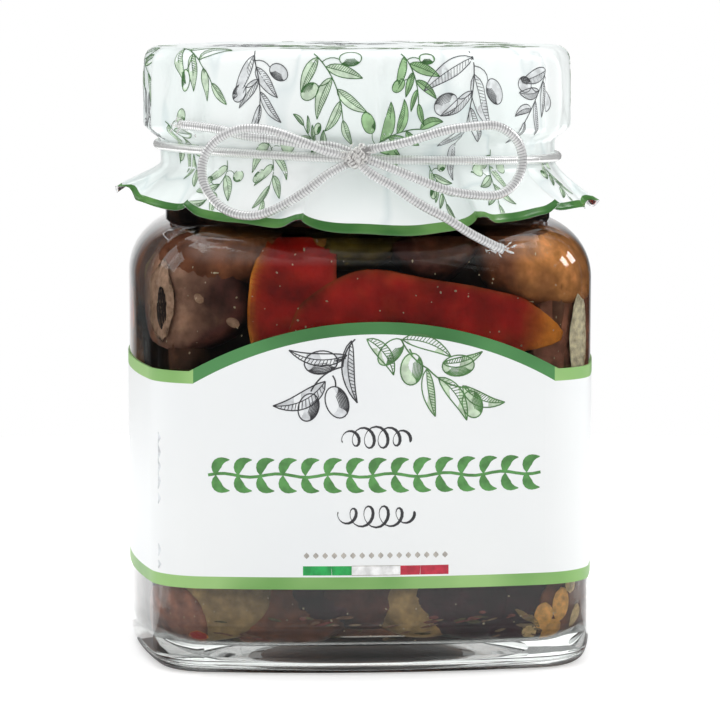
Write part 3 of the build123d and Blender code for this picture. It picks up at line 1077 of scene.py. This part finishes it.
def satin_foil(name):
    recipe = Recipe(name)
    uv = recipe.node("SeparateXYZ", Vector=recipe.node("UVMap").outputs["UV"])
    border = recipe.math("GREATER_THAN", uv.outputs["Y"], (paper_radius - hem_band) / paper_radius)
    cloudy = recipe.noise(45.0, 2.0)
    paper = recipe.ramp(cloudy, [(0.35, (0.95, 0.975, 0.97)), (0.6, (0.87, 0.935, 0.92))])
    leafy = recipe.ramp(recipe.noise(90.0, 2.0), [(0.4, (0.045, 0.17, 0.035)), (0.65, (0.16, 0.36, 0.09))])
    upright = recipe.node("Mapping", Vector=recipe.objects(), Scale=(1.0, 1.0, 0.4))
    crumple = recipe.noise(75.0, 2.0, 0.45, upright.outputs["Vector"])
    ridges = recipe.math("ABSOLUTE", recipe.math("SUBTRACT", crumple, 0.5))
    # Painted shade: thin grey lines darken the paper along the crumple's ridges, which also bump it.
    painted_crease_shade = recipe.ramp(ridges, [(0.0, (0.86, 0.89, 0.90)), (0.03, (1.0, 1.0, 1.0))])
    paper = recipe.mix(1.0, paper, painted_crease_shade, "MULTIPLY")
    recipe.set(Base_Color=recipe.mix(border, paper, leafy), Roughness=0.28, Specular_IOR_Level=0.6)
    recipe.bump(ridges, 0.9, 0.0025)
    return recipe.material


def silver_back(name):
    recipe = Recipe(name)
    tone = recipe.ramp(recipe.noise(200.0), [(0.3, (0.55, 0.56, 0.57)), (0.7, (0.8, 0.8, 0.8))])
    recipe.set(Base_Color=tone, Metallic=0.9, Roughness=0.25)
    return recipe.material


paper_turns = 420
paper_rings = 78
bm = bmesh.new()
seam = [bm.verts.new((paper_radius * i / paper_rings, 0, 0)) for i in range(paper_rings + 1)]
for a, b in zip(seam, seam[1:]):
    bm.edges.new((a, b))
bmesh.ops.spin(bm, geom=bm.verts[:] + bm.edges[:], cent=(0, 0, 0), axis=(0, 0, 1), angle=2 * math.pi,
               steps=paper_turns, use_merge=True)
bmesh.ops.remove_doubles(bm, verts=bm.verts, dist=1e-3)
uv_layer = bm.loops.layers.uv.verify()
for face in bm.faces:
    for loop in face.loops:
        loop[uv_layer].uv = (0.5, loop.vert.co.length / paper_radius)
flat_area = sum(face.calc_area() for face in bm.faces)
for vert in bm.verts:
    vert.co = paper_point(vert.co.length, math.degrees(math.atan2(vert.co.x, -vert.co.y)))
bmesh.ops.recalc_face_normals(bm, faces=bm.faces)
if sum(face.normal.z for face in bm.faces if face.calc_center_median().z > paper_high - 1) < 0:
    bmesh.ops.reverse_faces(bm, faces=bm.faces)
foil = new_piece("foil_cover", bm, [satin_foil("satin_foil"), silver_back("silver_back")])
thickness = foil.modifiers.new("thickness", "SOLIDIFY")
thickness.thickness = 0.09 * MM
thickness.offset = -1
thickness.material_offset = 1
thickness.material_offset_rim = 1
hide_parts("lid_cover")

# %% [markdown]
# The print is line art: sprigs of olive leaves and fruit, some green and some grey, each leaf with an
# outline, a rib and fine hatching on one half. It is drawn with thin ribbons of mesh a few hundredths of a
# millimetre above the paper, so it bends and folds with it and stays sharp at any distance.

# %% Pens
def bow_line(start, end, bend, parts):
    """Points from start to end, bowed sideways by bend times the length."""
    start, end = Vector(start), Vector(end)
    way = end - start
    side = Vector((-way.y, way.x))
    return [start + way * t + side * (4 * bend * t * (1 - t)) for t in (i / parts for i in range(parts + 1))]


def heading_way(angle):
    return Vector((math.sin(angle), math.cos(angle)))


class Pen:
    """Draws on a surface. on(x, y, lift) lays a flat point there, and the strokes look away from inside."""

    def __init__(self, bm, on, inside):
        self.bm, self.on, self.inside = bm, on, inside

    def ribbon(self, line, widths, lift, ink):
        """A flat stroke through 2-D points."""
        last = len(line) - 1

        def place(u, v):
            i = round(v * last)
            a, b = line[max(i - 1, 0)], line[min(i + 1, last)]
            along = Vector((b[0] - a[0], b[1] - a[1])).normalized()
            half = (widths[i] if isinstance(widths, list) else widths) * (u - 0.5)
            return self.on(line[i][0] - along.y * half, line[i][1] + along.x * half, lift)

        bent_grid(self.bm, 1, last, place, material=ink, inside=self.inside)

    def leaf(self, start, end, width, bend, inks):
        """Fill, two outlines, a rib and hatching on one half."""
        rib = bow_line(start, end, bend, 10)
        swell = [math.sin(math.pi * (i / 10) ** 0.8) ** 0.85 * width / 2 for i in range(11)]
        fill, line_ink, line_width = inks
        across = []
        for i in range(11):
            way = (rib[min(i + 1, 10)] - rib[max(i - 1, 0)]).normalized()
            across.append(Vector((-way.y, way.x)))
        self.ribbon(rib, [2 * s + 0.01 for s in swell], 0.02, fill)
        for sign in (1, -1):
            edge = [p + n * s * sign for p, n, s in zip(rib, across, swell)]
            self.ribbon(edge, line_width, 0.045, line_ink)
        self.ribbon(rib, line_width * 0.8, 0.045, line_ink)
        for k in range(14):
            spot = 0.8 + k * 0.6
            i = int(spot)
            share = spot - i
            base = rib[i].lerp(rib[i + 1], share)
            reach = swell[i] + (swell[i + 1] - swell[i]) * share
            way = (rib[i + 1] - rib[i]).normalized()
            tip = base + across[i] * reach * 0.92 + way * reach * 0.5
            self.ribbon([base, base.lerp(tip, 0.5), tip], line_width * 0.6, 0.04, line_ink)

    def olive(self, middle, size, lean, inks):
        """Fill, an outline and crescents of hatching on the shaded side."""
        fill, line_ink, line_width = inks
        middle = Vector(middle)
        axis = heading_way(lean) * size[0] / 2
        side = Vector((math.cos(lean), -math.sin(lean))) * size[1] / 2
        ts = [-1 + i / 5 for i in range(11)]
        core = [middle + axis * t for t in ts]
        self.ribbon(core, [size[1] * math.sqrt(max(0, 1 - t * t)) + 0.01 for t in ts], 0.02, fill)
        ring = [middle + axis * math.cos(a) + side * math.sin(a)
                for a in (2 * math.pi * i / 24 for i in range(25))]
        self.ribbon(ring, line_width, 0.05, line_ink)
        for k in range(7):
            offset = 0.9 - 0.13 * k
            span = 0.82 - 0.07 * k
            arc = [middle + axis * t * span + side * offset * math.sqrt(1 - (t * span) ** 2) for t in ts[::2]]
            self.ribbon(arc, line_width * (0.9 - 0.06 * k), 0.045, line_ink)

    def sprig(self, start, heading, length, inks):
        """A stem with paired leaves and two olives on short stalks. heading is in degrees."""
        fill, line_ink, line_width = inks
        way = heading_way(math.radians(heading))
        end = Vector(start) + way * length
        stem = bow_line(start, end, 0.08, 12)
        self.ribbon(stem, line_width * 1.3, 0.05, line_ink)
        for k in range(5):
            lean = math.radians(heading + (-1) ** k * dice.uniform(35, 60))
            reach = length * dice.uniform(0.52, 0.70) * (1 - 0.06 * k)
            root = stem[1 + k * 2]
            self.leaf(root, root + heading_way(lean) * reach, reach * dice.uniform(0.24, 0.32),
                      dice.uniform(-0.12, 0.12), inks)
        self.leaf(end, end + way * length * 0.42, length * 0.13, dice.uniform(-0.1, 0.1), inks)
        for k in range(2):
            root = stem[2 + k * 3]
            lean = math.radians(heading - (-1) ** k * dice.uniform(60, 95))
            hang = root + heading_way(lean) * length * 0.24
            self.ribbon(bow_line(root, hang, 0.15, 4), line_width, 0.05, line_ink)
            size = (length * 0.30, length * 0.21)
            self.olive(hang + heading_way(lean) * size[0] * 0.5, size, lean, inks)


# %% Print on the foil
def on_paper(x, y, lift):
    """Lay a point of the flat paper, x to the right and y away from the front, on the folded one."""
    reach = min(math.hypot(x, y), paper_radius - hem_band - 0.05)
    return paper_point(reach, math.degrees(math.atan2(x, -y)), lift)


def flat_spot(turn, reach):
    """A spot of the flat sheet, from its direction and its distance to the middle."""
    return Vector((math.sin(math.radians(turn)) * reach, -math.cos(math.radians(turn)) * reach))


def ink(name, colour, rough=0.4):
    recipe = Recipe(name)
    worn = recipe.noise(800.0)
    low = tuple(c * 0.8 for c in colour)
    high = tuple(min(1, c * 1.2) for c in colour)
    recipe.set(Base_Color=recipe.ramp(worn, [(0.35, low), (0.65, high)]), Roughness=rough)
    return recipe.material


inks = [ink("pale_green_ink", (0.62, 0.76, 0.58)), ink("green_ink", (0.06, 0.17, 0.05)),
        ink("pale_grey_ink", (0.70, 0.73, 0.74)), ink("grey_ink", (0.08, 0.085, 0.09)),
        ink("leaf_green_ink", (0.34, 0.55, 0.28))]
green_inks, grey_inks, leaf_inks = (0, 1, 0.12), (2, 3, 0.12), (4, 1, 0.12)
bm = bmesh.new()
pen = Pen(bm, on_paper, inside=Vector((0, 0, 66)))
dice = random.Random(8)
# Direction of the foot in degrees from the front, its reach from the middle, heading, length and inks.
front_sprigs = [
    (-33, 29.5, 205, 9.0, grey_inks), (-16, 30.0, 165, 9.0, green_inks), (7, 30.0, 150, 6.5, leaf_inks),
    (27, 29.5, 165, 12.0, grey_inks), (-1, 44.5, 62, 9.0, leaf_inks), (-13, 44.0, 330, 5.0, green_inks),
    (-30, 42.5, 205, 8.5, green_inks), (-44, 46.0, 235, 8.5, green_inks), (-66, 40.0, 200, 9.0, green_inks),
    (36, 44.5, 160, 8.0, green_inks), (56, 32.0, 170, 9.0, grey_inks), (64, 46.0, 120, 7.0, green_inks),
    (-62, 29.0, 175, 9.0, green_inks), (16, 46.5, 140, 5.5, green_inks),
]
ink_sets = (green_inks, grey_inks, leaf_inks)
for turn, reach, heading, length, inks_here in front_sprigs:
    pen.sprig(flat_spot(turn, reach), heading, length * 1.15, inks_here)
for k in range(17):
    turn = 82 + k * 200 / 16 + dice.uniform(-4, 4)
    reach = (31, 43, 37)[k % 3] + dice.uniform(-1, 1)
    pen.sprig(flat_spot(turn, reach), dice.uniform(0, 360), dice.uniform(8, 10.5), ink_sets[k % 3])
for k in range(12):
    spot = flat_spot(k * 137.5, 4 + 5.6 * math.sqrt(k + 0.5))
    pen.sprig(spot, dice.uniform(0, 360), dice.uniform(8, 10.5), ink_sets[k % 3])
foil_print = new_piece("foil_print", bm, inks)

# %% [markdown]
# The label is a paper sleeve from the frame. Its green bands follow the edge, and the arch is a circle
# through three points, so the band is a difference of distances. Its wording is left out: plain ornaments
# stand there.

# %% Label paper
arch_circle = (arch_half ** 2 + label_rise ** 2) / (2 * label_rise)
arch_centre = label_peak - arch_circle
band = 1.7
recipe = Recipe("label_paper")
spot = recipe.node("SeparateXYZ", Vector=recipe.objects())
x, y, z = (spot.outputs[axis] for axis in "XYZ")
wide = recipe.math("ABSOLUTE", x)
is_front = recipe.math("LESS_THAN", y, 0.0)
above = recipe.math("SUBTRACT", z, arch_centre * MM)
from_centre = recipe.math("ADD", recipe.math("POWER", wide, 2.0), recipe.math("POWER", above, 2.0))
from_centre = recipe.math("SQRT", from_centre)
in_arch = recipe.math("MULTIPLY", is_front, recipe.math("LESS_THAN", wide, (arch_half - 0.55) * MM))
near_arch = recipe.math("GREATER_THAN", from_centre, (arch_circle - band) * MM)
arch_band = recipe.math("MULTIPLY", in_arch, near_arch)
top_band = recipe.math("GREATER_THAN", z, (label_top - band) * MM)
top_band = recipe.math("MULTIPLY", top_band, recipe.math("SUBTRACT", 1.0, in_arch))
low_band = recipe.math("LESS_THAN", z, (label_low + band) * MM)
flat_bands = recipe.math("MAXIMUM", top_band, low_band)
sheen = recipe.noise(60.0, 2.0)
paper = recipe.ramp(recipe.noise(30.0, 2.0), [(0.35, (0.84, 0.86, 0.87)), (0.65, (0.875, 0.89, 0.89))])
# Painted reflection: the bands are one glossy green ink, painted darker on the arch as if it mirrored a dark
# room and lighter on the straight bands as if they mirrored the bright floor and sides.
painted_shade_band = recipe.ramp(sheen, [(0.35, (0.05, 0.19, 0.055)), (0.65, (0.085, 0.28, 0.09))])
painted_lit_band = recipe.ramp(sheen, [(0.35, (0.17, 0.38, 0.10)), (0.65, (0.33, 0.56, 0.2))])
colour = recipe.mix(arch_band, paper, painted_shade_band)
recipe.set(Base_Color=recipe.mix(flat_bands, colour, painted_lit_band), Roughness=0.45, Specular_IOR_Level=0.4)
recipe.bump(recipe.noise(2500.0, 2.0), 0.1, 0.00005)
give("label", recipe.material)

# %% Print on the label
paper_thick = 0.2
label_bow = side_bow + paper_thick


def on_label(x, z, lift):
    """Lay a point of the label's flat front, x along the paper and z up, on the bowed glass."""
    lean = x / label_bow
    half = jar_half + paper_thick - (shoulder_top - z) * wall_draft
    out = label_bow + lift
    return Vector((out * math.sin(lean), label_bow - half - out * math.cos(lean), z))


label_inks = [ink("label_pale_green", (0.55, 0.68, 0.5), 0.5), ink("label_green", (0.09, 0.22, 0.07), 0.5),
              ink("label_pale_grey", (0.66, 0.68, 0.7), 0.5), ink("label_grey", (0.05, 0.05, 0.055), 0.5),
              ink("title_green", (0.10, 0.30, 0.08), 0.5), ink("bar_green", (0.02, 0.40, 0.09), 0.5),
              ink("bar_white", (0.86, 0.86, 0.86), 0.5), ink("bar_red", (0.55, 0.03, 0.06), 0.5),
              ink("taupe_ink", (0.45, 0.42, 0.38), 0.5)]
print_green, print_grey = (0, 1, 0.17), (2, 3, 0.17)
bm = bmesh.new()
pen = Pen(bm, on_label, inside=Vector((0, 0, 30)))


def draw_spray(inks, leaves, olives, stems):
    """Leaves have two ends, a width and a bend, olives a middle, size and lean, stems two ends and a bend."""
    for start, end, width, bend in leaves:
        pen.leaf(start, end, width, bend, inks)
    for middle, size, lean in olives:
        pen.olive(middle, size, lean, inks)
    for start, end, bend in stems:
        pen.ribbon(bow_line(start, end, bend, 8), 0.2, 0.05, inks[1])


draw_spray(print_grey,
           leaves=[((-3.4, 46.6), (-2.6, 38.0), 1.7, -0.1), ((-4.0, 44.6), (-12.0, 45.3), 1.7, 0.12),
                   ((-7.0, 41.0), (-14.2, 37.6), 2.3, 0.14)],
           olives=[((-7.6, 43.6), (4.6, 3.2), 1.45), ((-9.3, 37.4), (3.9, 2.8), 0.3),
                   ((-5.4, 38.1), (4.5, 3.1), -0.35)],
           stems=[((-2.9, 46.8), (-4.6, 43.0), -0.1), ((-4.6, 43.0), (-9.0, 39.6), -0.12),
                  ((-4.2, 44.2), (-5.6, 43.8), 0.0), ((-6.0, 41.8), (-5.6, 40.2), 0.1)])
draw_spray(print_green,
           leaves=[((-1.3, 46.8), (2.4, 41.8), 1.9, 0.12), ((3.6, 46.7), (10.4, 44.2), 1.9, 0.1),
                   ((9.2, 43.4), (14.8, 44.9), 1.3, -0.1), ((7.0, 42.6), (8.2, 36.0), 1.7, -0.05),
                   ((8.6, 41.4), (12.6, 35.4), 2.0, 0.1), ((12.0, 40.2), (18.0, 37.8), 1.9, -0.14)],
           olives=[((2.0, 45.0), (4.4, 2.6), 0.75), ((4.9, 42.6), (4.4, 3.1), 0.1),
                   ((11.4, 43.0), (4.5, 2.9), 1.5), ((13.4, 37.6), (3.8, 2.8), -0.3)],
           stems=[((3.4, 46.8), (7.2, 42.6), -0.08), ((7.2, 42.6), (12.6, 39.9), -0.1),
                  ((4.6, 45.4), (5.0, 44.6), 0.0), ((12.4, 40.2), (13.0, 39.2), 0.1)])


# %% Ornaments in place of the wording
black_ink, title_ink, taupe = 3, 4, 8


def draw_flourish(height, half_span, swing):
    """A wave that swells and thins as a pen would draw it."""
    steps = 72
    line, widths = [], []
    for i in range(steps + 1):
        t = -1 + 2 * i / steps
        angle = 5 * math.pi * t
        calm = 1 - 0.6 * t * t
        line.append((half_span * t + 1.15 * math.sin(angle) * calm, height + swing * math.cos(angle) * calm))
        widths.append(0.08 + 0.36 * abs(math.sin(angle / 2 + 0.8)) ** 2)
    pen.ribbon(line, widths, 0.04, black_ink)


draw_flourish(33.2, 4.6, 1.5)
draw_flourish(22.2, 5.2, -1.5)
title_low, title_high, title_half = 25.8, 30.1, 23.2
title_middle = (title_low + title_high) / 2
stem = [(-title_half + i * title_half / 20, title_middle + 0.25 * math.sin(i * 0.94)) for i in range(41)]
pen.ribbon(stem, 0.42, 0.03, title_ink)
leaf_widths = [0.12 + 1.3 * math.sin(math.pi * (i / 8) ** 0.8) for i in range(9)]
leaf_pairs = 15
for k in range(leaf_pairs):
    at = -title_half + (k + 0.35) * 2 * title_half / leaf_pairs
    for rise in (title_high - title_middle, title_low - title_middle):
        leaf = bow_line((at, title_middle), (at + 1.9, title_middle + rise), 0.14 * rise, 8)
        pen.ribbon(leaf, leaf_widths, 0.03, title_ink)
for k in range(16):
    at = -9.6 + k * 1.28
    pen.ribbon([(at - 0.36, 16.8), (at, 16.8), (at + 0.36, 16.8)], [0.2, 0.9, 0.2], 0.03, taupe)
bar_low, bar_high, bar_half = 14.05, 15.35, 10.1
for k, bar_ink in enumerate((5, 6, 7)):
    left = -bar_half + k * 2 * bar_half / 3
    row = [(left + i * 2 * bar_half / 12, (bar_low + bar_high) / 2) for i in range(5)]
    pen.ribbon(row, bar_high - bar_low, 0.03, bar_ink)
for edge in (bar_low, bar_high):
    pen.ribbon([(-bar_half / 3 + i * bar_half / 6, edge) for i in range(5)], 0.09, 0.05, taupe)
side_marks = [(33, 1.6), (31, 2.4), (29, 2.0), (27, 2.2), (24.6, 1.5), (17.4, 1.8), (15.4, 1.2)]
for height, reach in side_marks:
    mark = [(-30.2, height - reach / 2), (-30.0, height), (-30.2, height + reach / 2)]
    pen.ribbon(mark, [0.1, 0.4, 0.1], 0.03, print_grey[0])
new_piece("label_print", bm, label_inks)
